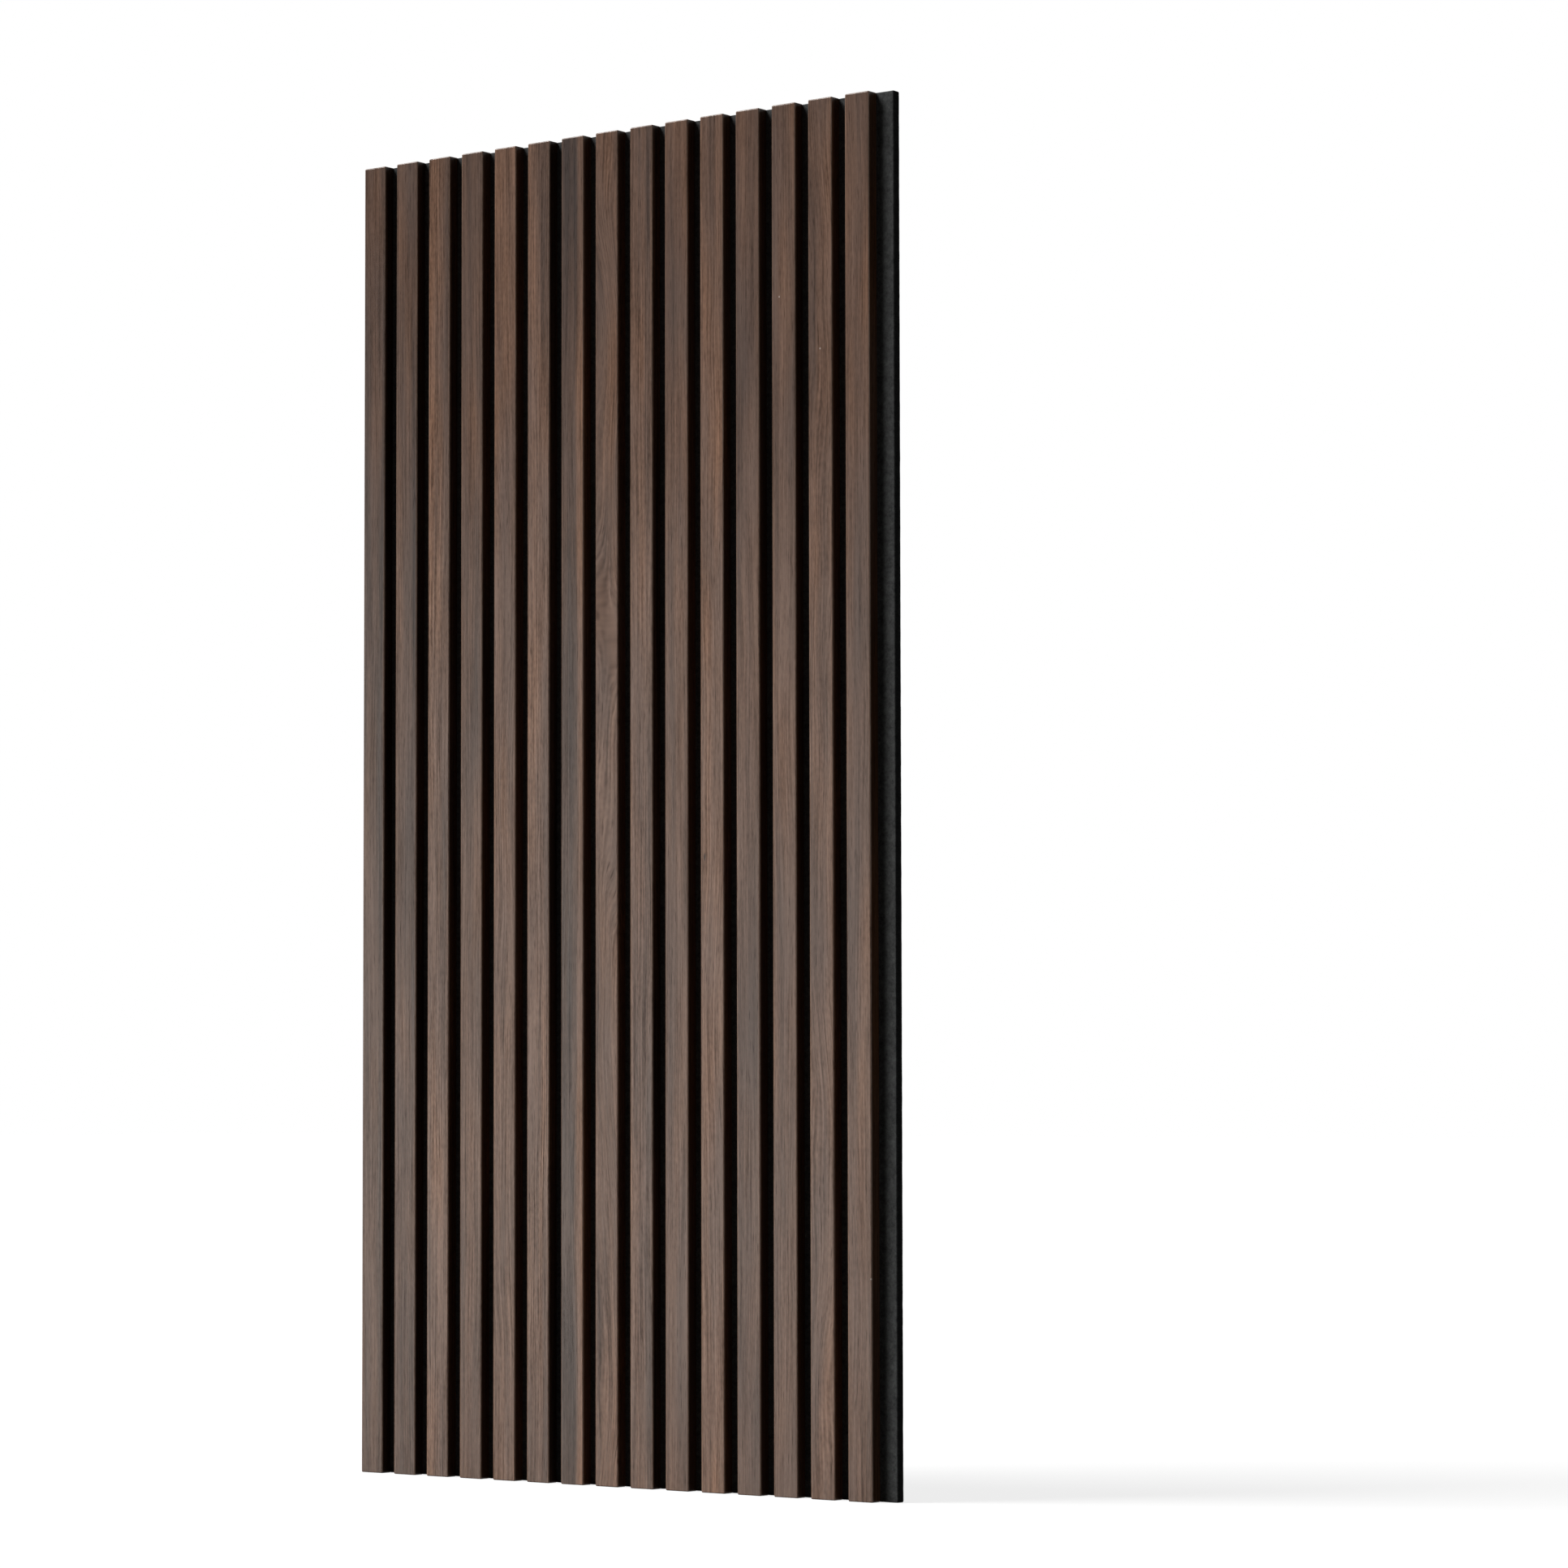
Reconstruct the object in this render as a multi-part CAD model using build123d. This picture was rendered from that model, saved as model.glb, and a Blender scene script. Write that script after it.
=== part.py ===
"""Slatted acoustic wall panel: veneered wood slats in a row on a backing board of black felt.

The panel stands as it hangs on a wall. X runs along its width, to the right as seen from the room.
Y runs into the wall, so the room side faces -Y. Z is up. The origin is the centre of the back face.
"""
from build123d import *
import os

# Driving dimensions, in millimetres
PANEL_HEIGHT = 1200.0
SLAT_COUNT = 15
SLAT_WIDTH = 25.6
SLAT_THICKNESS = 11.0
GAP_WIDTH = 14.1
JOINT_LIP = 18.6
FELT_THICKNESS = 9.0
SLAT_ARRIS_RADIUS = 1.2
SLAT_END_EASING = 1.2
FELT_EDGE_RADIUS = 1.4

# A rounding or easing takes at most this share of the wall that it is worked on
LARGEST_ROUNDING_SHARE = 0.45

# Places that follow from the driving dimensions
SLAT_PITCH = SLAT_WIDTH + GAP_WIDTH
PANEL_WIDTH = SLAT_COUNT * SLAT_WIDTH + (SLAT_COUNT - 1) * GAP_WIDTH + JOINT_LIP
PANEL_LEFT = -PANEL_WIDTH / 2
PANEL_BOTTOM = -PANEL_HEIGHT / 2
FELT_FRONT = -FELT_THICKNESS
SLAT_FRONT = FELT_FRONT - SLAT_THICKNESS


def rounding(size, *walls):
    """The wanted size, or as much of it as the thinnest of the walls leaves room for."""
    return min(size, LARGEST_ROUNDING_SHARE * min(walls))


def felt_board():
    """The felt board: a flat slab, pressed and cut, with every edge softened."""
    slab = Box(
        PANEL_WIDTH,
        FELT_THICKNESS,
        PANEL_HEIGHT,
        align=(Align.CENTER, Align.MAX, Align.CENTER),
    )
    return fillet(slab.edges(), rounding(FELT_EDGE_RADIUS, FELT_THICKNESS))


def slat():
    """One slat, standing at the origin with its front left corner there.

    It is the bar that three outlines share. The plan is square where it is glued and rounded at both
    front arrises. The front and side views have clipped corners, which ease the sawn ends.
    """
    arris = rounding(SLAT_ARRIS_RADIUS, SLAT_WIDTH, SLAT_THICKNESS)
    easing = rounding(SLAT_END_EASING, SLAT_WIDTH, SLAT_THICKNESS)
    plan = Rectangle(SLAT_WIDTH, SLAT_THICKNESS, align=Align.MIN)
    plan = fillet(plan.vertices().group_by(Axis.Y)[0], arris)
    front_view = Plane.XZ * Rectangle(SLAT_WIDTH, PANEL_HEIGHT, align=Align.MIN)
    front_view = chamfer(front_view.vertices(), easing)
    side_view = Plane.YZ * Rectangle(SLAT_THICKNESS, PANEL_HEIGHT, align=Align.MIN)
    side_view = chamfer(side_view.vertices().group_by(Axis.Y)[0], easing)
    bar = extrude(plan, PANEL_HEIGHT)
    return bar & extrude(front_view, -SLAT_THICKNESS) & extrude(side_view, SLAT_WIDTH)


def slat_row():
    """Every slat of the row in its place, the first one flush with the felt's left edge."""
    pattern = slat()
    for number in range(SLAT_COUNT):
        left = PANEL_LEFT + number * SLAT_PITCH
        yield f"slat_{number + 1:02d}", Pos(left, SLAT_FRONT, PANEL_BOTTOM) * pattern


os.makedirs("parts", exist_ok=True)
export_step(felt_board(), "parts/felt_board.step")
for name, solid in slat_row():
    export_step(solid, f"parts/{name}.step")
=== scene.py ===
"""Looks of a slatted acoustic wall panel: walnut-veneered slats on a board of black felt.

Everything is in metres in the part's own frame: X to the right as seen from the room, Y into the
wall, Z up, with the origin at the centre of the back face.
"""
import logging
import math
from collections.abc import Callable, Iterator, Mapping
from contextlib import contextmanager
from dataclasses import dataclass
from enum import Enum

import bmesh
import bpy
from mathutils import Matrix, Vector


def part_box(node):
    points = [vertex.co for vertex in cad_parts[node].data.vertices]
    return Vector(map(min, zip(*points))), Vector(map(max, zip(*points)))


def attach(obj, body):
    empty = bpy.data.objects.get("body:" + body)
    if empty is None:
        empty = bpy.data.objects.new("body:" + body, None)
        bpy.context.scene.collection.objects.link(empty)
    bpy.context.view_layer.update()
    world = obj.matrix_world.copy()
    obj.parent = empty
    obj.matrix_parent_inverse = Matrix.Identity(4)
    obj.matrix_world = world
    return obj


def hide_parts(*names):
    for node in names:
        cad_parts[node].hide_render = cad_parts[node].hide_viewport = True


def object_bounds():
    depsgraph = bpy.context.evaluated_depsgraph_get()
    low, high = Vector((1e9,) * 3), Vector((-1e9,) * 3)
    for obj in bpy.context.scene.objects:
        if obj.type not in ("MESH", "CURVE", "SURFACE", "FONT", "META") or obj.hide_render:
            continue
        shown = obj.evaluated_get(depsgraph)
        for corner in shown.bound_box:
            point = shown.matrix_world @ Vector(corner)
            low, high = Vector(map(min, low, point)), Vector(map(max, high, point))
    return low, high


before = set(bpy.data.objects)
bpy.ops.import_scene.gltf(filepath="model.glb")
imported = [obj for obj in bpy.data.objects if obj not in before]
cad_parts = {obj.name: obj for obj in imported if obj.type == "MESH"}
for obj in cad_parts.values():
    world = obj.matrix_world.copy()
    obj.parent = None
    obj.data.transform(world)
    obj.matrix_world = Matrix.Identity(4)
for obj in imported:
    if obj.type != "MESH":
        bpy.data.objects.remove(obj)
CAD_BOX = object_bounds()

LOG = logging.getLogger("wall_panel")
MILLIMETRE = 0.001
HALF = 0.5
BODY = "root"

# Least part of a unit vector along an axis for it to run along that axis
ALONG_AXIS = 0.999

Triple = tuple[float, float, float]
Colour = Triple
WHITE: Colour = (1.0, 1.0, 1.0)
CREAM: Colour = (1.0, 0.955, 0.895)
WHITE_PAINT = (*WHITE, 1.0)


class Field:
    """A value that varies over a surface: a socket on which Python's operators add Math nodes."""

    def __init__(self, bench: "Bench", socket: bpy.types.NodeSocket | None) -> None:
        """Wraps a socket.

        Args:
            bench: The bench whose tree holds the socket.
            socket: The output socket that gives the value.
        """
        self.bench = bench
        self.socket = socket

    def _math(self, operation: str, *operands: "Operand") -> "Field":
        """Adds one Math node.

        Args:
            operation: The Math node's operation.
            operands: Its values, fields or numbers, in order.

        Returns:
            The node's result.
        """
        return self.bench.node("ShaderNodeMath", {"operation": operation}, dict(enumerate(operands)))

    def __add__(self, other: "Operand") -> "Field":
        """Field plus other."""
        return self._math("ADD", self, other)

    def __radd__(self, other: "Operand") -> "Field":
        """Other plus field."""
        return self._math("ADD", other, self)

    def __sub__(self, other: "Operand") -> "Field":
        """Field minus other."""
        return self._math("SUBTRACT", self, other)

    def __rsub__(self, other: "Operand") -> "Field":
        """Other minus field."""
        return self._math("SUBTRACT", other, self)

    def __mul__(self, other: "Operand") -> "Field":
        """Field times other."""
        return self._math("MULTIPLY", self, other)

    def __rmul__(self, other: "Operand") -> "Field":
        """Other times field."""
        return self._math("MULTIPLY", other, self)

    def __truediv__(self, other: "Operand") -> "Field":
        """Field divided by other."""
        return self._math("DIVIDE", self, other)

    def at_least(self, other: "Operand") -> "Field":
        """The larger of field and other."""
        return self._math("MAXIMUM", self, other)

    def step(self, low: float, high: float) -> "Field":
        """A smooth step over the field.

        Args:
            low: Where the step is still 0.
            high: Where the step has reached 1. It may be lower than low.

        Returns:
            A field from 0 to 1.
        """
        settings = {"interpolation_type": "SMOOTHSTEP"}
        sockets = {"Value": self, "From Min": low, "From Max": high}
        return self.bench.node("ShaderNodeMapRange", settings, sockets)


Operand = Field | float
Sockets = Mapping[str | int, "Operand | Colour | tuple[float, ...]"]


class Bench:
    """A node tree under construction, a material's or the world's.

    Attributes:
        MIX_FIRST: The Mix node's input for the first colour. Its names repeat for each kind of value.
        MIX_SECOND: Its input for the second colour.
        MIX_RESULT: Its output for the mixed colour.
    """

    MIX_FIRST = 6
    MIX_SECOND = 7
    MIX_RESULT = 2

    def __init__(self, tree: bpy.types.NodeTree) -> None:
        """Clears the tree for new nodes."""
        tree.nodes.clear()
        self.tree = tree

    def node(
        self,
        kind: str,
        settings: Mapping[str, object] | None = None,
        sockets: Sockets | None = None,
        output: int | str = 0,
    ) -> Field:
        """Adds any node.

        Args:
            kind: The node's type.
            settings: Its properties, set before its sockets.
            sockets: Values or links of its inputs, by name or index.
            output: The output that is wanted.

        Returns:
            That output, or an empty field where the node has none.
        """
        made = self.tree.nodes.new(kind)
        for name, value in (settings or {}).items():
            setattr(made, name, value)
        for key, value in (sockets or {}).items():
            if isinstance(value, Field):
                self.tree.links.new(value.socket, made.inputs[key])
            else:
                made.inputs[key].default_value = value
        return Field(self, made.outputs[output] if len(made.outputs) else None)

    def place(self) -> tuple[Field, Field, Field]:
        """Finds the surface point in the piece's own space.

        Returns:
            Its X, Y and Z, in millimetres.
        """
        point = self.node("ShaderNodeTexCoord", output="Object")
        parts = [self.node("ShaderNodeSeparateXYZ", None, {0: point}, axis) for axis in range(3)]
        return tuple(part / MILLIMETRE for part in parts)

    def within(self, cell: Triple) -> Field:
        """The surface point counted in cells of that size, given in millimetres."""
        return self.point(*(value / side for value, side in zip(self.place(), cell)))

    def point(self, x: Operand, y: Operand, z: Operand) -> Field:
        """A vector of three values."""
        return self.node("ShaderNodeCombineXYZ", None, {0: x, 1: y, 2: z})

    def attribute(self, name: str) -> Field:
        """A number that the piece's mesh carries under that name."""
        return self.node("ShaderNodeAttribute", {"attribute_name": name}, None, "Fac")

    def noise(
        self,
        point: Field,
        detail: float = 2.0,
        roughness: float = 0.5,
        distortion: float = 0.0,
    ) -> Field:
        """Cloudy noise about zero.

        Args:
            point: Where it is read, with one unit to a cloud.
            detail: Octaves added to the first.
            roughness: Weight of each octave against the one before.
            distortion: How far the clouds are pulled about.

        Returns:
            A field from about -0.5 to 0.5.
        """
        sockets = {
            "Vector": point,
            "Scale": 1.0,
            "Detail": detail,
            "Roughness": roughness,
            "Distortion": distortion,
        }
        return self.node("ShaderNodeTexNoise", None, sockets) - HALF

    def cells(self, point: Field) -> Field:
        """Distance to the nearest of scattered seeds, one to each unit cell."""
        sockets = {"Vector": point, "Scale": 1.0}
        return self.node("ShaderNodeTexVoronoi", None, sockets, "Distance")

    def mix(
        self,
        share: Operand,
        first: Field | Colour,
        second: Field | Colour,
        blend: str = "MIX",
    ) -> Field:
        """Mixes two colours.

        Args:
            share: How much of the second is taken.
            first: The colour at share 0.
            second: The colour at share 1.
            blend: The way they are mixed.

        Returns:
            The mixed colour.
        """
        pair = [value if isinstance(value, Field) else (*value, 1.0) for value in (first, second)]
        settings = {"data_type": "RGBA", "blend_type": blend, "clamp_factor": True}
        sockets = {0: share, self.MIX_FIRST: pair[0], self.MIX_SECOND: pair[1]}
        return self.node("ShaderNodeMix", settings, sockets, self.MIX_RESULT)

    def grey(self, value: Field) -> Field:
        """A grey colour of that value."""
        return self.node("ShaderNodeCombineColor", None, {0: value, 1: value, 2: value})

    def bump(self, height: Field, depth: float, strength: float) -> Field:
        """A normal that follows a height field.

        Args:
            height: The height, about 0.
            depth: What a height of 1 is, in millimetres.
            strength: How much of the relief shows.

        Returns:
            The bent normal.
        """
        sockets = {"Strength": strength, "Distance": depth * MILLIMETRE, "Height": height}
        return self.node("ShaderNodeBump", None, sockets)

    def seen_directly(self) -> Field:
        """Tells the rays that show a thing from other light.

        Returns:
            1 for rays from the camera, in a gloss or through glass, and 0 for others.
        """
        camera, glossy, clear = (
            self.node("ShaderNodeLightPath", None, None, f"Is {kind} Ray")
            for kind in ("Camera", "Glossy", "Transmission")
        )
        return camera.at_least(glossy).at_least(clear)

    def surface(self, shader: Field) -> None:
        """Ends a material's tree in that shader."""
        self.node("ShaderNodeOutputMaterial", None, {"Surface": shader})


def new_material(name: str) -> tuple[bpy.types.Material, Bench]:
    """Makes an empty material.

    Args:
        name: The material's name.

    Returns:
        The material, and the bench for its nodes.
    """
    material = bpy.data.materials.new(name)
    material.use_nodes = True
    return material, Bench(material.node_tree)


@dataclass(frozen=True)
class Character:
    """How one leaf of veneer looks.

    Attributes:
        smoke: How dark its left part is, 0 warm to 1 smoked.
        lean: How much darker its right part is than its left.
        arch: How far its grain bows into arches, 0 straight to 1 arched.
        stripe: How strongly its growth lines show.
    """

    smoke: float
    lean: float
    arch: float
    stripe: float


class Leaf(Enum):
    """The kinds of veneer leaf on the panel."""

    SMOKED = Character(smoke=0.7, lean=0.12, arch=0.0, stripe=0.7)
    ASHEN = Character(smoke=0.61, lean=0.02, arch=0.05, stripe=0.6)
    PLAIN = Character(smoke=0.55, lean=0.03, arch=0.05, stripe=0.6)
    WARM = Character(smoke=0.38, lean=0.04, arch=0.12, stripe=0.9)
    STRIPED = Character(smoke=0.45, lean=0.2, arch=0.0, stripe=1.3)
    ARCHED = Character(smoke=0.51, lean=-0.08, arch=0.6, stripe=1.0)
    FLAMED = Character(smoke=0.58, lean=-0.16, arch=0.22, stripe=0.9)
    TWO_TONE = Character(smoke=0.88, lean=-0.55, arch=0.0, stripe=0.7)


@dataclass(frozen=True)
class Spot:
    """What a small mark in the veneer looks like.

    Attributes:
        width: How wide it is, in millimetres.
        length: How long it is up the slat, in millimetres.
        tone: How light it is, 0 black to 1 white.
    """

    width: float
    length: float
    tone: float


class Blemish(Enum):
    """The kinds of small mark in the veneer."""

    NICK = Spot(width=1.5, length=2.2, tone=0.36)
    PIN_KNOT = Spot(width=1.8, length=9.0, tone=0.0)


@dataclass(frozen=True)
class Mark:
    """A small mark in one slat's veneer.

    Attributes:
        across: How far it lies from the slat's left side, in millimetres.
        height: How far it lies above the panel's middle, in millimetres.
        kind: What it is.
    """

    across: float
    height: float
    kind: Blemish


@dataclass(frozen=True)
class WalnutVeneer:
    """Smoked walnut veneer under an open-pored satin lacquer, its grain running up each slat.

    A cell has a width across the grain and a length along it, in millimetres.

    Attributes:
        warm: Colour of the light wood.
        smoked: Colour of the dark wood.
        reddish: Tint of the redder patches.
        bluish: Tint of the greyer patches.
        tint_swing: How fast the tint changes from one patch to the next.
        arris_highlight: Colour of the painted highlight along the rounded arrises.
        bare: Tint of the wood in a mark.
        mark_depth: Millimetres behind the front where a mark has ended and where it is whole.
        leaf_step: How far apart the leaves are cut, across the grain and along it, in millimetres.
        sway_cell: Cell of the grain's wander.
        sway: How far the grain of a straight leaf wanders, in millimetres.
        arch_sway: How much further the grain of an arched leaf wanders, in millimetres.
        cloud_cell: Cell of the darker and lighter clouds.
        cloudiness: How much the clouds show.
        patch_cell: Cell of the patches, which differ in tint, fibres and pores.
        patchiness: How much the fibres' strength changes from patch to patch.
        right_part: Shares of a slat's width where its right part begins and where it is complete.
        ring_cell: Cell of the growth lines.
        ring_strength: How much the growth lines show.
        fibre_width: Width of a bundle of fibres, in millimetres.
        fibre_runs: How long bundles run, in millimetres, each with its strength.
        pore_cell: Cell that holds one pore.
        pore_size: Distances from a cell's seed where a pore has ended and where it is whole.
        pore_dark: How much darker a pore is than the wood round it.
        lacquer: Share of the surface that the lacquer closes.
        gloss: Roughness of the lacquer.
        relief: Depth of the open grain, in millimetres.
        relief_share: How much of that relief shows.
        gap_shade: Painted shade: how much darker the sides are than the front, deeper in the gaps.
        gap_shade_depth: Millimetres behind the front where the painted shade begins and where it is
            full.
    """

    warm: Colour = (0.165, 0.0826, 0.047)
    smoked: Colour = (0.023, 0.0105, 0.0058)
    reddish: Colour = (1.05, 0.95, 0.8)
    bluish: Colour = (0.95, 1.05, 1.25)
    tint_swing: float = 2.5
    arris_highlight: Colour = (0.21, 0.125, 0.082)
    bare: Colour = (1.0, 0.82, 0.7)
    mark_depth: tuple[float, float] = (1.6, 1.2)
    leaf_step: tuple[float, float] = (137.0, 911.0)
    sway_cell: tuple[float, float] = (45.0, 240.0)
    sway: float = 8.0
    arch_sway: float = 90.0
    cloud_cell: tuple[float, float] = (15.0, 210.0)
    cloudiness: float = 0.75
    patch_cell: tuple[float, float] = (24.0, 170.0)
    patchiness: float = 1.6
    right_part: tuple[float, float] = (0.6, 0.8)
    ring_cell: tuple[float, float] = (5.5, 420.0)
    ring_strength: float = 0.6
    fibre_width: float = 1.35
    fibre_runs: tuple[tuple[float, float], ...] = ((4.5, 0.4), (24.0, 0.5), (130.0, 0.9))
    pore_cell: tuple[float, float] = (1.6, 24.0)
    pore_size: tuple[float, float] = (0.3, 0.1)
    pore_dark: float = 0.7
    lacquer: float = 0.5
    gloss: float = 0.27
    relief: float = 0.05
    relief_share: float = 0.25
    gap_shade: float = 0.3
    gap_shade_depth: tuple[float, float] = (1.2, 3.0)

    def material(self, low: Vector, high: Vector) -> bpy.types.Material:
        """Builds the finish.

        Args:
            low: Lowest corner of a slat that it covers.
            high: Highest corner of that slat.

        Returns:
            The material.
        """
        material, bench = new_material("walnut_veneer")
        x, y, z = bench.place()
        number = bench.attribute("leaf_number")
        stripe = bench.attribute("leaf_stripe")
        across = x - bench.attribute("leaf_left")
        depth = y - low.y / MILLIMETRE
        step_across, step_along = self.leaf_step
        run = across + number * step_across
        rise = z + number * step_along

        drift = bench.noise(self._along(bench, self.sway_cell, run, y, rise), detail=1.0)
        line = run + drift * (self.sway + bench.attribute("leaf_arch") * self.arch_sway)
        rings = self._rings(bench, line, y, rise)
        cloud = bench.noise(self._along(bench, self.cloud_cell, run, y, rise), detail=1.0)
        patch = bench.noise(self._along(bench, self.patch_cell, run, y, rise), detail=1.0)
        fibres = self._fibres(bench, line, y, rise)
        fibres = fibres * (stripe * HALF + HALF) * (patch * self.patchiness + 1.0)
        pores = bench.cells(self._along(bench, self.pore_cell, line, y, rise))
        pores = pores.step(*self.pore_size) * (HALF - patch)

        width = (high.x - low.x) / MILLIMETRE
        right = ((across + drift * self.sway) / width).step(*self.right_part)
        smoke = bench.attribute("leaf_smoke") + bench.attribute("leaf_lean") * right
        smoke = smoke + cloud * self.cloudiness + rings * stripe * self.ring_strength
        wood = bench.mix(smoke, self.warm, self.smoked)
        tint = bench.mix(patch * -self.tint_swing + HALF, self.reddish, self.bluish)
        wood = bench.mix(1.0, wood, tint, "MULTIPLY")
        # Painted shade: the sides grow darker deeper into the gaps between the slats.
        stained = depth.step(*self.gap_shade_depth) * self.gap_shade
        light = (1.0 + fibres) * (1.0 - pores * self.pore_dark) * (1.0 - stained)
        wood = bench.mix(1.0, wood, bench.grey(light), "MULTIPLY")
        # Painted highlight: a lighter colour along every rounded arris, streaked by the fibres.
        wood = bench.mix(bench.attribute("leaf_arris_highlight") * (HALF + fibres), wood, self.arris_highlight)
        mark = self._mark(bench, across, z) * depth.step(*self.mark_depth)
        bared = bench.mix(1.0, bench.grey(bench.attribute("mark_tone")), self.bare, "MULTIPLY")

        sockets = {
            "Base Color": bench.mix(mark, wood, bared),
            "Roughness": 0.6,
            "Specular IOR Level": 0.0,
            "Coat Weight": self.lacquer * light,
            "Coat Roughness": self.gloss,
            "Normal": bench.bump(light, self.relief, self.relief_share),
        }
        bench.surface(bench.node("ShaderNodeBsdfPrincipled", None, sockets))
        return material

    @staticmethod
    def _mark(bench: Bench, across: Field, z: Field) -> Field:
        """The small mark that some slats have.

        Args:
            bench: The bench of the finish.
            across: Millimetres from the slat's left side.
            z: Millimetres above the panel's middle.

        Returns:
            A field that is 1 at the mark's middle and 0 round it.
        """
        rim = HALF * HALF
        aside = (across - bench.attribute("mark_across")) / bench.attribute("mark_width")
        above = (z - bench.attribute("mark_height")) / bench.attribute("mark_length")
        return (aside * aside + above * above).step(rim, 0.0) * bench.attribute("mark_shown")

    def _fibres(self, bench: Bench, line: Field, y: Field, rise: Field) -> Field:
        """The fine grain: bundles of fibres of several lengths.

        Args:
            bench: The bench of the finish.
            line: Millimetres across the grain.
            y: Millimetres into the slat.
            rise: Millimetres up the leaf.

        Returns:
            A field about 0, dark to light.
        """
        runs = iter(self.fibre_runs)
        length, strength = next(runs)
        bundle = self._along(bench, (self.fibre_width, length), line, y, rise)
        total = bench.noise(bundle, detail=0.0) * strength
        for length, strength in runs:
            bundle = self._along(bench, (self.fibre_width, length), line + length, y, rise)
            total = total + bench.noise(bundle, detail=0.0) * strength
        return total

    @staticmethod
    def _along(
        bench: Bench,
        cell: tuple[float, float],
        line: Field,
        y: Field,
        rise: Field,
    ) -> Field:
        """A point counted in cells that are stretched along the grain.

        Args:
            bench: The bench of the finish.
            cell: Width and length of a cell, in millimetres.
            line: Millimetres across the grain.
            y: Millimetres into the slat.
            rise: Millimetres up the leaf.

        Returns:
            The point.
        """
        wide, long = cell
        return bench.point(line / wide, y / wide, rise / long)

    def _rings(self, bench: Bench, line: Field, y: Field, rise: Field) -> Field:
        """The growth lines, straight on most leaves and bowed on some.

        Args:
            bench: The bench of the finish.
            line: Millimetres across the grain, with the grain's own wander.
            y: Millimetres into the slat.
            rise: Millimetres up the leaf.

        Returns:
            A field from about -0.5 to 0.5, light to dark.
        """
        point = self._along(bench, self.ring_cell, line, y, rise)
        return bench.noise(point, detail=1.5, roughness=0.6)


@dataclass(frozen=True)
class SawnFibreboard:
    """The sawn end of a slat's fibreboard core, stained brown.

    Attributes:
        pale: Colour of its lightest fibres.
        dark: Colour of its darkest fibres.
        fleck: Size of a fleck along X, Y and Z, in millimetres.
        fleck_strength: How much the flecks show.
        clump: Size of a denser spot along X, Y and Z, in millimetres.
        clump_strength: How much the denser spots show.
        relief: Depth of the torn fibres, in millimetres.
        relief_share: How much of that relief shows.
    """

    pale: Colour = (0.15, 0.095, 0.058)
    dark: Colour = (0.07, 0.042, 0.026)
    fleck: Triple = (0.7, 0.45, 0.7)
    fleck_strength: float = 1.6
    clump: Triple = (9.0, 5.0, 9.0)
    clump_strength: float = 0.6
    relief: float = 0.1
    relief_share: float = 0.5

    def material(self) -> bpy.types.Material:
        """Builds the finish.

        Returns:
            The material.
        """
        material, bench = new_material("sawn_fibreboard")
        flecks = bench.noise(bench.within(self.fleck), detail=3.0, roughness=0.65)
        clumps = bench.noise(bench.within(self.clump), detail=1.0)
        share = flecks * self.fleck_strength + clumps * self.clump_strength + HALF
        sockets = {
            "Base Color": bench.mix(share, self.pale, self.dark),
            "Roughness": 0.85,
            "Specular IOR Level": 0.25,
            "Normal": bench.bump(flecks, self.relief, self.relief_share),
        }
        bench.surface(bench.node("ShaderNodeBsdfPrincipled", None, sockets))
        return material


@dataclass(frozen=True)
class PressedFelt:
    """Black felt of pressed polyester fibres, matt with a faint fuzz.

    Sizes are along X, Y and Z, in millimetres.

    Attributes:
        dark: Colour between the tufts.
        light: Colour of the raised fibres.
        lightness: Share of the light colour on the whole.
        cut: Painted shade: how much darker the cut edges are than the faces.
        blotch: Size of a paler or darker blotch.
        blotch_strength: How much the blotches show.
        tuft: Size of a tuft.
        tuft_strength: How much the tufts show.
        tuft_relief: Height of a tuft against that of a fibre.
        fibre: Size of a curl of fibres.
        fibre_strength: How much the fibres show.
        relief: Height of the fibres, in millimetres.
        relief_share: How much of that relief shows.
    """

    dark: Colour = (0.02, 0.0208, 0.0208)
    light: Colour = (0.094, 0.097, 0.097)
    lightness: float = 0.45
    cut: float = 0.6
    blotch: Triple = (7.0, 7.0, 7.0)
    blotch_strength: float = 0.7
    tuft: Triple = (2.4, 2.4, 2.4)
    tuft_strength: float = 0.9
    tuft_relief: float = 0.6
    fibre: Triple = (0.55, 0.55, 0.55)
    fibre_strength: float = 1.1
    relief: float = 0.35
    relief_share: float = 0.6

    def material(self) -> bpy.types.Material:
        """Builds the finish.

        Returns:
            The material.
        """
        material, bench = new_material("black_felt")
        blotch = bench.noise(bench.within(self.blotch))
        tuft = bench.noise(bench.within(self.tuft), distortion=0.6)
        fibres = bench.noise(bench.within(self.fibre), distortion=2.0)
        share = blotch * self.blotch_strength + tuft * self.tuft_strength
        share = share + fibres * self.fibre_strength + self.lightness
        felt = bench.mix(share, self.dark, self.light)
        # Painted shade: the cut edges of the board are darkened.
        lit = bench.grey(1.0 - bench.attribute("felt_edge_shade") * self.cut)
        sockets = {
            "Base Color": bench.mix(1.0, felt, lit, "MULTIPLY"),
            "Roughness": 0.95,
            "Specular IOR Level": 0.0,
            "Sheen Weight": 0.1,
            "Sheen Roughness": 0.45,
            "Normal": bench.bump(tuft * self.tuft_relief + fibres, self.relief, self.relief_share),
        }
        bench.surface(bench.node("ShaderNodeBsdfPrincipled", None, sockets))
        return material


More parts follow.
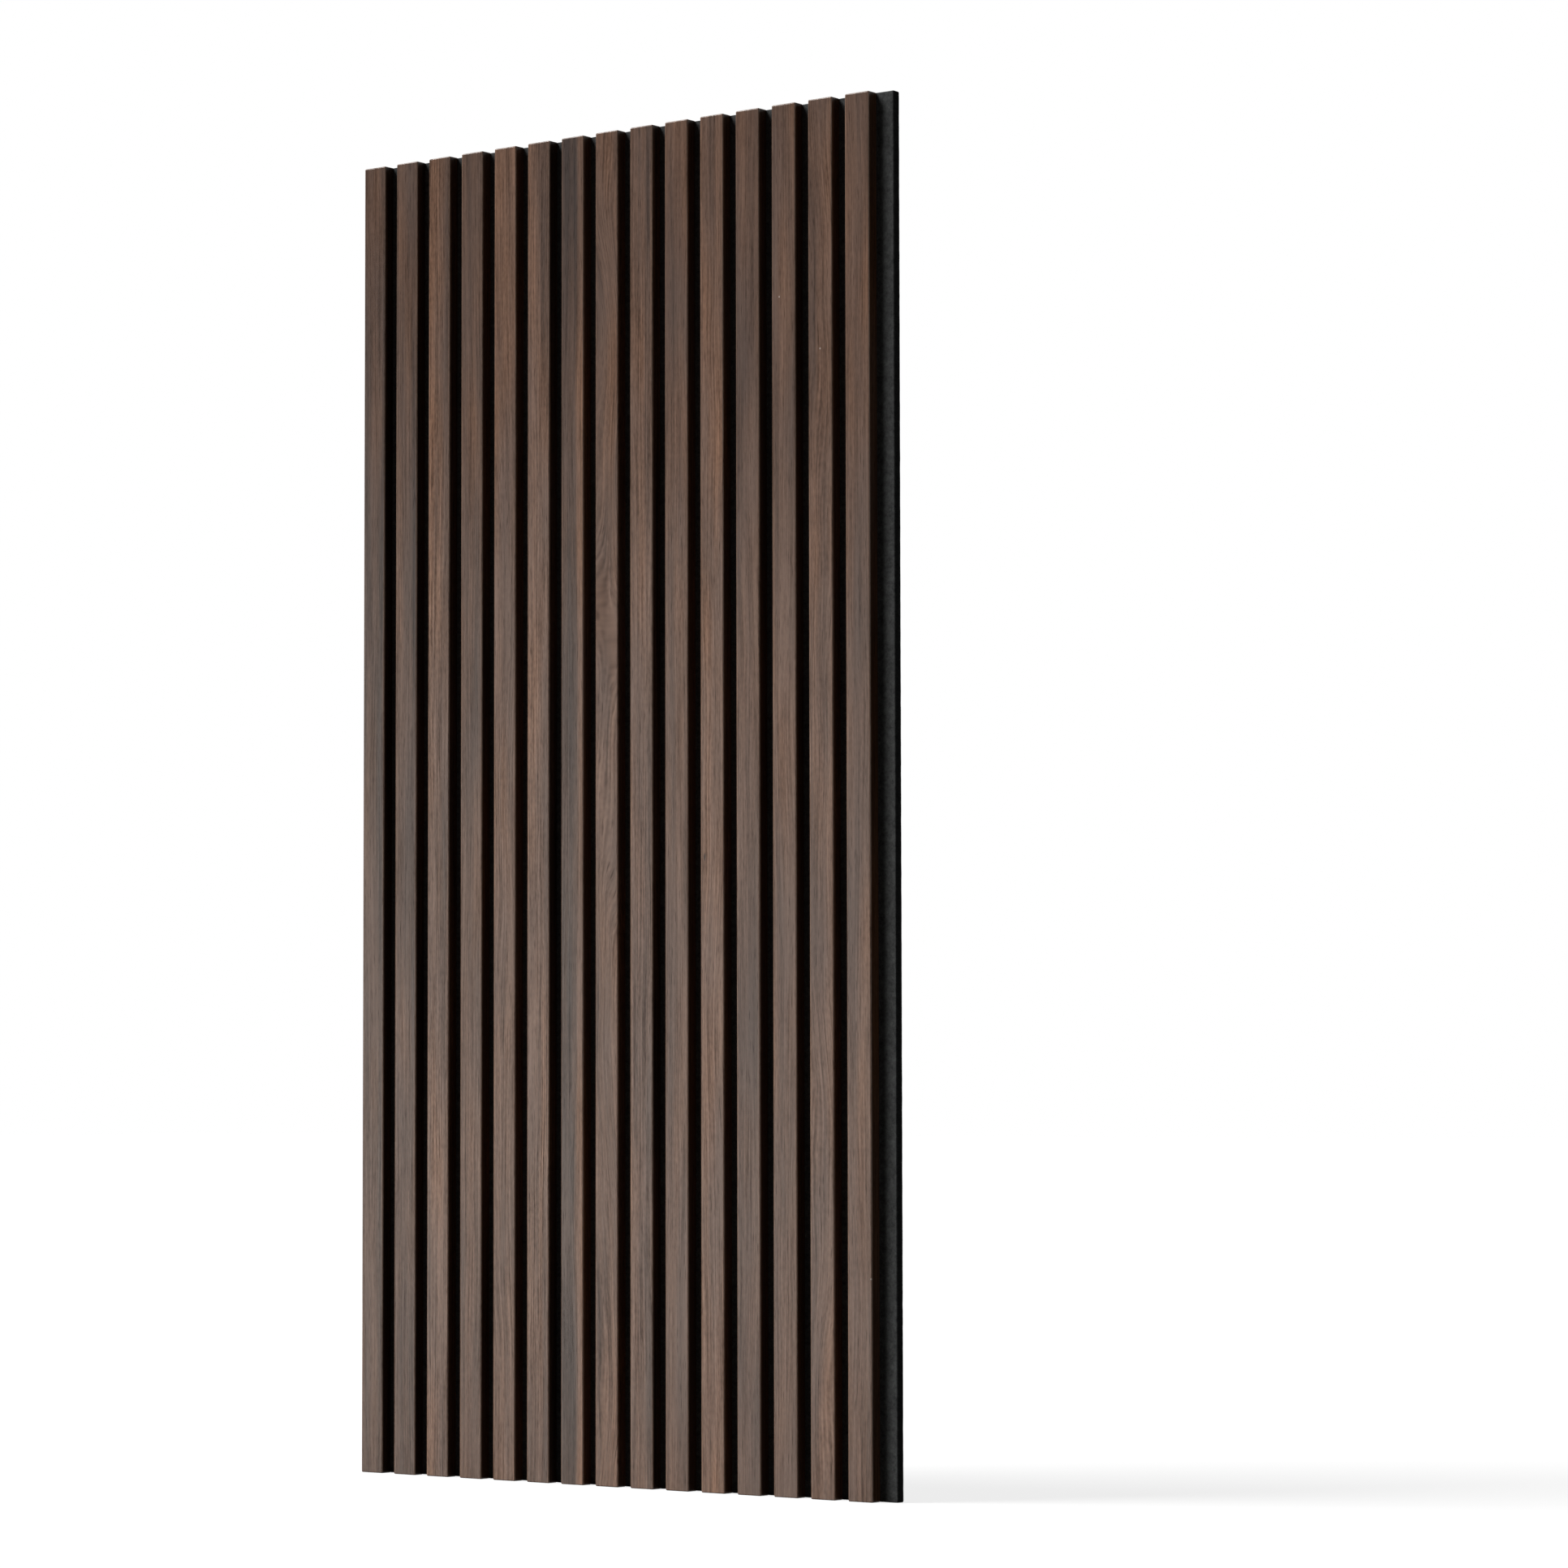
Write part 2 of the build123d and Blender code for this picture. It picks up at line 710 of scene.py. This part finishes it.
class Workshop:
    """Modelling by hand, with Blender's operators."""

    @staticmethod
    def deselect() -> None:
        """Deselects every object."""
        bpy.ops.object.select_all(action="DESELECT")

    @classmethod
    def block(cls, name: str, low: Vector, high: Vector) -> bpy.types.Object:
        """Adds a block between two corners, with its place in its mesh.

        Args:
            name: The new object's name.
            low: The block's lowest corner.
            high: The block's highest corner.

        Returns:
            The block, selected and active.
        """
        cls.deselect()
        bpy.ops.mesh.primitive_cube_add(size=1.0, location=(low + high) / 2, scale=high - low)
        made = bpy.context.active_object
        bpy.ops.object.transform_apply(location=True, rotation=True, scale=True)
        made.name = made.data.name = name
        return made

    @classmethod
    def copy(cls, pattern: bpy.types.Object, name: str, shift: Vector) -> bpy.types.Object:
        """Copies a piece, with a mesh of its own.

        Args:
            pattern: The piece to copy.
            name: The copy's name.
            shift: How far the copy is moved.

        Returns:
            The copy, selected and active.
        """
        cls.deselect()
        pattern.select_set(True)
        bpy.context.view_layer.objects.active = pattern
        bpy.ops.object.duplicate(linked=False)
        made = bpy.context.active_object
        made.location = shift
        bpy.ops.object.transform_apply(location=True, rotation=False, scale=False)
        made.name = made.data.name = name
        return made

    @staticmethod
    @contextmanager
    def editing(piece: bpy.types.Object, part: str) -> Iterator[None]:
        """Opens a piece in edit mode.

        Args:
            piece: The piece to edit.
            part: What is selected there, EDGE or FACE.

        Yields:
            Nothing. Edit mode ends with the block.
        """
        bpy.context.view_layer.objects.active = piece
        bpy.ops.object.mode_set(mode="EDIT")
        bpy.ops.mesh.select_mode(type=part)
        yield
        bpy.ops.object.mode_set(mode="OBJECT")

    @staticmethod
    def select_edges(piece: bpy.types.Object, wanted: Callable[[Vector, Vector], bool]) -> None:
        """Selects edges of the piece in edit mode.

        Args:
            piece: The piece in edit mode.
            wanted: Says from an edge's middle and direction whether it is selected.
        """
        bpy.ops.mesh.select_all(action="DESELECT")
        mesh = bmesh.from_edit_mesh(piece.data)
        for edge in mesh.edges:
            first, last = (vertex.co for vertex in edge.verts)
            if wanted((first + last) / 2, (last - first).normalized()):
                edge.select_set(True)
        bmesh.update_edit_mesh(piece.data)

    @staticmethod
    def select_faces(piece: bpy.types.Object, wanted: Callable[[Vector], bool]) -> None:
        """Selects faces of the piece in edit mode.

        Args:
            piece: The piece in edit mode.
            wanted: Says from a face's normal whether it is selected.
        """
        bpy.ops.mesh.select_all(action="DESELECT")
        mesh = bmesh.from_edit_mesh(piece.data)
        for face in mesh.faces:
            if wanted(face.normal):
                face.select_set(True)
        bmesh.update_edit_mesh(piece.data)

    @staticmethod
    def smooth(piece: bpy.types.Object, angle: float) -> None:
        """Shades rounded edges smooth and keeps flat faces flat.

        Args:
            piece: The piece, selected and active.
            angle: The sharpest edge that is still smooth, in degrees.
        """
        bpy.ops.object.shade_smooth_by_angle(angle=math.radians(angle))
        flat = piece.modifiers.new("flat_faces", "WEIGHTED_NORMAL")
        flat.weight = 100
        flat.keep_sharp = True
        bpy.ops.object.modifier_apply(modifier=flat.name)


def hand_in(piece: bpy.types.Object, node: str) -> None:
    """Fixes a finished piece to the frame in place of its solid.

    Args:
        piece: The finished piece.
        node: The solid that it stands for.
    """
    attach(piece, BODY)
    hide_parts(node)
    LOG.info("%s stands for %s with %d faces", piece.name, node, len(piece.data.polygons))


@dataclass
class SlatRow:
    """The row of veneered slats.

    Attributes:
        leaves: The veneer leaf on each slat, from the left.
        marks: The small marks, each with its slat's number in the row, from 1.
        arris: Rounding of the front arrises and the ends, in metres.
        arris_segments: Faces across a rounding.
        veneer: Thickness of the veneer that shows round the sawn core, in metres.
        smooth_angle: The sharpest edge that is shaded smooth, in degrees.
    """

    leaves: tuple[Leaf, ...] = (
        Leaf.SMOKED,
        Leaf.SMOKED,
        Leaf.STRIPED,
        Leaf.ASHEN,
        Leaf.WARM,
        Leaf.STRIPED,
        Leaf.TWO_TONE,
        Leaf.ARCHED,
        Leaf.STRIPED,
        Leaf.PLAIN,
        Leaf.WARM,
        Leaf.ASHEN,
        Leaf.PLAIN,
        Leaf.FLAMED,
        Leaf.PLAIN,
    )
    marks: tuple[tuple[int, Mark], ...] = (
        (11, Mark(across=4.8, height=-50.4, kind=Blemish.PIN_KNOT)),
        (13, Mark(across=8.3, height=432.1, kind=Blemish.NICK)),
        (14, Mark(across=12.8, height=383.0, kind=Blemish.NICK)),
        (15, Mark(across=24.9, height=-412.3, kind=Blemish.NICK)),
    )
    arris: float = 1.2 * MILLIMETRE
    arris_segments: int = 4
    veneer: float = 0.6 * MILLIMETRE
    smooth_angle: float = 50.0

    def __post_init__(self) -> None:
        """Finds the slats in the frame."""
        self.nodes = sorted(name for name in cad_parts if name.startswith("slat_"))
        self.low, self.high = (Vector(corner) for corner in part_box(self.nodes[0]))

    def build(self) -> None:
        """Models the first slat, copies it along the row and dresses every slat."""
        pattern = self._model()
        pattern.data.materials.append(WalnutVeneer().material(self.low, self.high))
        pattern.data.materials.append(SawnFibreboard().material())
        self._bare_ends(pattern)
        Workshop.smooth(pattern, self.smooth_angle)
        pieces = [pattern]
        for number, node in enumerate(self.nodes[1:], start=2):
            shift = Vector(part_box(node)[0]) - self.low
            pieces.append(Workshop.copy(pattern, f"veneered_slat_{number:02d}", shift))
        for number, (piece, node) in enumerate(zip(pieces, self.nodes)):
            self._grain(piece, number, *(Vector(corner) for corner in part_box(node)))
            hand_in(piece, node)

    def _model(self) -> bpy.types.Object:
        """Models the first slat, rounded at its front and ends and sharp at its back.

        Returns:
            The slat.
        """
        slat = Workshop.block("veneered_slat_01", self.low, self.high)
        back = self.high.y
        with Workshop.editing(slat, "EDGE"):
            Workshop.select_edges(slat, lambda middle, _: middle.y < back - self.arris)
            bpy.ops.mesh.bevel(offset=self.arris, segments=self.arris_segments, affect="EDGES")
        return slat

    def _bare_ends(self, slat: bpy.types.Object) -> None:
        """Lays the sawn core open at both ends, within a rim of veneer.

        Args:
            slat: The slat, with the veneer in its first slot and the core in its second.
        """
        with Workshop.editing(slat, "FACE"):
            Workshop.select_faces(slat, lambda normal: abs(normal.z) > ALONG_AXIS)
            bpy.ops.mesh.inset(thickness=self.veneer, depth=0.0)
            slat.active_material_index = 1
            bpy.ops.object.material_slot_assign()

    def _grain(self, slat: bpy.types.Object, number: int, low: Vector, high: Vector) -> None:
        """Writes the leaf's character, and where the arrises get their painted highlight, on the
        slat's mesh, where the finish reads them.

        Args:
            slat: The slat.
            number: Its place in the row, from 0.
            low: The slat's lowest corner.
            high: The slat's highest corner.
        """
        leaf = self.leaves[number % len(self.leaves)].value
        values = {
            "leaf_number": float(number),
            "leaf_left": low.x / MILLIMETRE,
            "leaf_smoke": leaf.smoke,
            "leaf_lean": leaf.lean,
            "leaf_arch": leaf.arch,
            "leaf_stripe": leaf.stripe,
            **self._mark_values(number + 1),
        }
        for name, value in values.items():
            layer = slat.data.attributes.new(name, "FLOAT", "POINT")
            layer.data.foreach_set("value", [value] * len(slat.data.vertices))
        # Where the finish paints its highlight: the rounded arrises.
        highlight_layer = slat.data.attributes.new("leaf_arris_highlight", "FLOAT", "POINT")
        highlight_layer.data.foreach_set("value", [self._rounded(v.co, low, high) for v in slat.data.vertices])

    def _mark_values(self, number: int) -> dict[str, float]:
        """What the finish reads of a slat's mark.

        Args:
            number: The slat's number in the row, from 1.

        Returns:
            The values by name, or nothing for a slat without a mark.
        """
        mark = dict(self.marks).get(number)
        if mark is None:
            return {}
        spot = mark.kind.value
        return {
            "mark_shown": 1.0,
            "mark_across": mark.across,
            "mark_height": mark.height,
            "mark_width": spot.width,
            "mark_length": spot.length,
            "mark_tone": spot.tone,
        }

    @staticmethod
    def _rounded(point: Vector, low: Vector, high: Vector) -> float:
        """Tells a rounding's points from a flat face's.

        Args:
            point: A point of the slat.
            low: The slat's lowest corner.
            high: The slat's highest corner.

        Returns:
            1 on a rounding, 0 on a flat face.
        """
        near = 0.05 * MILLIMETRE
        gaps = (abs(point[axis] - corner[axis]) for corner in (low, high) for axis in range(3))
        return 0.0 if min(gaps) < near else 1.0


@dataclass
class FeltBoard:
    """The felt board behind the slats.

    Attributes:
        edge: Rounding of its edges, in metres.
        edge_segments: Faces across a rounding.
        cell: Size of the mesh's cells, in metres.
        fewest_cells: Fewest cells along a side.
        nap: How far the surface sinks between tufts, in metres.
        tuft: Size of a tuft, in metres.
        smooth_angle: The sharpest edge that is shaded smooth, in degrees.
    """

    edge: float = 1.4 * MILLIMETRE
    edge_segments: int = 3
    cell: float = 5.0 * MILLIMETRE
    fewest_cells: int = 4
    nap: float = 0.3 * MILLIMETRE
    tuft: float = 9.0 * MILLIMETRE
    smooth_angle: float = 60.0

    def build(self) -> None:
        """Models the board and dresses it."""
        low, high = (Vector(corner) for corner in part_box("felt_board"))
        board = Workshop.block("pressed_felt_board", low, high)
        with Workshop.editing(board, "EDGE"):
            bpy.ops.mesh.select_all(action="SELECT")
            bpy.ops.mesh.bevel(offset=self.edge, segments=self.edge_segments, affect="EDGES")
            for axis in range(3):
                self._divide(board, axis, (high - low)[axis])
        self._ruffle(board)
        self._mark_edge_shade(board)
        Workshop.smooth(board, self.smooth_angle)
        board.data.materials.append(PressedFelt().material())
        hand_in(board, "felt_board")

    def _divide(self, board: bpy.types.Object, axis: int, length: float) -> None:
        """Divides the board's mesh along an axis.

        Args:
            board: The board in edit mode.
            axis: The axis, 0 to 2.
            length: The board's length along it, in metres.
        """
        cells = max(self.fewest_cells, round(length / self.cell))
        first = round(math.sqrt(cells))
        for parts in (first, math.ceil(cells / first)):
            Workshop.select_edges(board, lambda _, direction: abs(direction[axis]) > ALONG_AXIS)
            bpy.ops.mesh.subdivide(number_cuts=parts - 1)

    def _ruffle(self, board: bpy.types.Object) -> None:
        """Sinks the surface a little between the tufts, never past the board's own faces.

        Args:
            board: The board.
        """
        clouds = bpy.data.textures.new("felt_tufts", "CLOUDS")
        clouds.noise_scale = self.tuft
        clouds.noise_depth = 1
        ruffle = board.modifiers.new("ruffle", "DISPLACE")
        ruffle.texture = clouds
        ruffle.texture_coords = "LOCAL"
        ruffle.mid_level = 1.0
        ruffle.strength = self.nap
        bpy.ops.object.modifier_apply(modifier=ruffle.name)

    @staticmethod
    def _mark_edge_shade(board: bpy.types.Object) -> None:
        """Marks the cut edges on the board's mesh, where the finish paints its shade.

        Args:
            board: The board.
        """
        layer = board.data.attributes.new("felt_edge_shade", "FLOAT", "POINT")
        turned = [1.0 - abs(vertex.normal.y) for vertex in board.data.vertices]
        layer.data.foreach_set("value", turned)


@dataclass(frozen=True)
class SunLamp:
    """A far soft light.

    Attributes:
        name: The lamp's name.
        azimuth: Where it stands, in degrees to the right of the panel's front.
        elevation: How high it stands, in degrees.
        breadth: How wide it looks from the panel, in degrees.
        strength: Its light on a surface that faces it.
    """

    name: str
    azimuth: float
    elevation: float
    breadth: float
    strength: float

    def build(self) -> None:
        """Hangs the lamp."""
        lamp = bpy.data.lights.new(self.name, "SUN")
        lamp.energy = self.strength
        lamp.angle = math.radians(self.breadth)
        hung = bpy.data.objects.new(self.name, lamp)
        turn, rise = math.radians(self.azimuth), math.radians(self.elevation)
        level = math.cos(rise)
        towards = Vector((math.sin(turn) * level, -math.cos(turn) * level, math.sin(rise)))
        hung.rotation_euler = towards.to_track_quat("Z", "Y").to_euler()
        bpy.context.scene.collection.objects.link(hung)


@dataclass(frozen=True)
class Card:
    """A near soft light: a glowing card that faces a point.

    Attributes:
        name: The card's name.
        place: The card's centre.
        aim: The point that it faces.
        size: Its width and height.
        glow: How bright it looks, with 1 as white.
        paper: Its colour.
    """

    name: str
    place: Triple
    aim: Triple
    size: tuple[float, float]
    glow: float
    paper: Colour = WHITE

    def build(self) -> None:
        """Hangs the card."""
        lamp = bpy.data.lights.new(self.name, "AREA")
        lamp.shape = "RECTANGLE"
        lamp.size, lamp.size_y = self.size
        lamp.energy = self.glow * math.pi * lamp.size * lamp.size_y
        lamp.color = self.paper
        hung = bpy.data.objects.new(self.name, lamp)
        hung.location = self.place
        away = Vector(self.place) - Vector(self.aim)
        hung.rotation_euler = away.to_track_quat("Z", "Y").to_euler()
        hung.visible_camera = False
        bpy.context.scene.collection.objects.link(hung)


@dataclass(frozen=True)
class Viewpoint:
    """The camera, where the photograph was taken from.

    Attributes:
        eye: Where it stands.
        yaw: How far it is turned to the left, in degrees.
        tilt: How far it looks up, in degrees.
        roll: How far it is rolled clockwise, in degrees.
        lens: Its focal length, in millimetres.
        sensor: Its sensor's width, in millimetres.
        shift: How far its view is shifted up, as a share of the sensor's width.
    """

    eye: Triple = (2.7715, -3.3699, -0.2579)
    yaw: float = 37.631
    tilt: float = 3.076
    roll: float = 0.11
    lens: float = 113.217
    sensor: float = 36.0
    shift: float = 0.03

    def build(self) -> None:
        """Sets up the camera."""
        optics = bpy.data.cameras.new("camera")
        optics.sensor_width = self.sensor
        optics.lens = self.lens
        optics.shift_y = self.shift
        camera = bpy.data.objects.new("camera", optics)
        yaw, tilt, roll = (math.radians(angle) for angle in (self.yaw, self.tilt, self.roll))
        turn = Matrix.Rotation(yaw, 4, "Z") @ Matrix.Rotation(math.pi / 2 + tilt, 4, "X")
        stand = Matrix.Translation(self.eye) @ turn
        camera.matrix_world = stand @ Matrix.Rotation(-roll, 4, "Z")
        bpy.context.scene.collection.objects.link(camera)
        bpy.context.scene.camera = camera


@dataclass
class Studio:
    """The white studio: floor, backdrop, lamps and camera.

    Attributes:
        floor_size: Side of the floor, in metres.
        floor_cells: Cells along a side of the floor.
        floor_bounce: Colour of the floor as other light meets it.
        floor_gloss: Roughness of the floor's polish.
        floor_index: Refractive index of the floor's polish.
        shadow_share: How much of the floor's look is real light, which holds the shadow.
        ambient: Light from all round on the object, with 1 as white.
        key: The main light, high on the left.
        cards: The glowing cards: two in front on the left, one on the right and one behind.
        viewpoint: The camera.
    """

    floor_size: float = 60.0
    floor_cells: int = 4
    floor_bounce: float = 0.05
    floor_gloss: float = 0.1
    floor_index: float = 1.45
    shadow_share: float = 0.2
    ambient: float = 0.03
    key: SunLamp = SunLamp("key", azimuth=-53.0, elevation=42.0, breadth=34.0, strength=5.1)
    cards: tuple[Card, ...] = (
        Card(
            "low_card",
            place=(-2.75, -3.4, -0.42),
            aim=(0.0, 0.0, -0.42),
            size=(3.0, 0.36),
            glow=5.4,
            paper=CREAM,
        ),
        Card(
            "mid_card",
            place=(-2.75, -3.4, 0.27),
            aim=(0.0, 0.0, 0.27),
            size=(3.0, 0.96),
            glow=2.9,
            paper=CREAM,
        ),
        Card("side_card", place=(2.95, -0.52, 0.0), aim=(0.3, 0.0, 0.0), size=(0.8, 1.6), glow=1.6),
        Card("back_card", place=(-2.4, 2.8, 1.2), aim=(0.0, 0.0, 0.0), size=(2.0, 2.0), glow=6.0),
    )
    viewpoint: Viewpoint = Viewpoint()

    def build(self) -> None:
        """Builds the studio round the panel."""
        self._floor()
        self._world()
        for fitting in (self.key, *self.cards, self.viewpoint):
            fitting.build()

    def _floor(self) -> None:
        """Lays a pale floor under the panel."""
        Workshop.deselect()
        bpy.ops.mesh.primitive_grid_add(
            x_subdivisions=self.floor_cells,
            y_subdivisions=self.floor_cells,
            size=self.floor_size,
            location=(0.0, 0.0, CAD_BOX[0][2]),
        )
        floor = bpy.context.active_object
        floor.name = "floor"
        material, bench = new_material("pale_floor")
        white = bench.node("ShaderNodeEmission", None, {"Color": WHITE_PAINT, "Strength": 1.0})
        lit = bench.node("ShaderNodeBsdfDiffuse", None, {"Color": WHITE_PAINT})
        shown = bench.node("ShaderNodeMixShader", None, {0: self.shadow_share, 1: white, 2: lit})
        gloss = {"Color": WHITE_PAINT, "Roughness": self.floor_gloss}
        polish = bench.node("ShaderNodeBsdfAnisotropic", None, gloss)
        glossy = bench.node("ShaderNodeLightPath", None, None, "Is Glossy Ray")
        mirrored = bench.node("ShaderNodeFresnel", None, {"IOR": self.floor_index}) * glossy
        shown = bench.node("ShaderNodeMixShader", None, {0: mirrored, 1: shown, 2: polish})
        bounce = (self.floor_bounce, self.floor_bounce, self.floor_bounce, 1.0)
        dim = bench.node("ShaderNodeBsdfDiffuse", None, {"Color": bounce})
        seen = bench.seen_directly()
        bench.surface(bench.node("ShaderNodeMixShader", None, {0: seen, 1: dim, 2: shown}))
        floor.data.materials.append(material)

    def _world(self) -> None:
        """Makes the backdrop white, with a little light of its own."""
        world = bpy.data.worlds.new("white_backdrop")
        world.use_nodes = True
        bpy.context.scene.world = world
        bench = Bench(world.node_tree)
        seen = bench.seen_directly()
        strength = seen + (1.0 - seen) * self.ambient
        sockets = {"Color": WHITE_PAINT, "Strength": strength}
        white = bench.node("ShaderNodeBackground", None, sockets)
        bench.node("ShaderNodeOutputWorld", None, {"Surface": white})


def main() -> None:
    """Builds the panel and its studio."""
    logging.basicConfig(level=logging.INFO, format="%(name)s: %(message)s")
    bpy.context.scene.view_settings.view_transform = "Standard"
    FeltBoard().build()
    SlatRow().build()
    Studio().build()


if __name__ == "__main__":
    main()
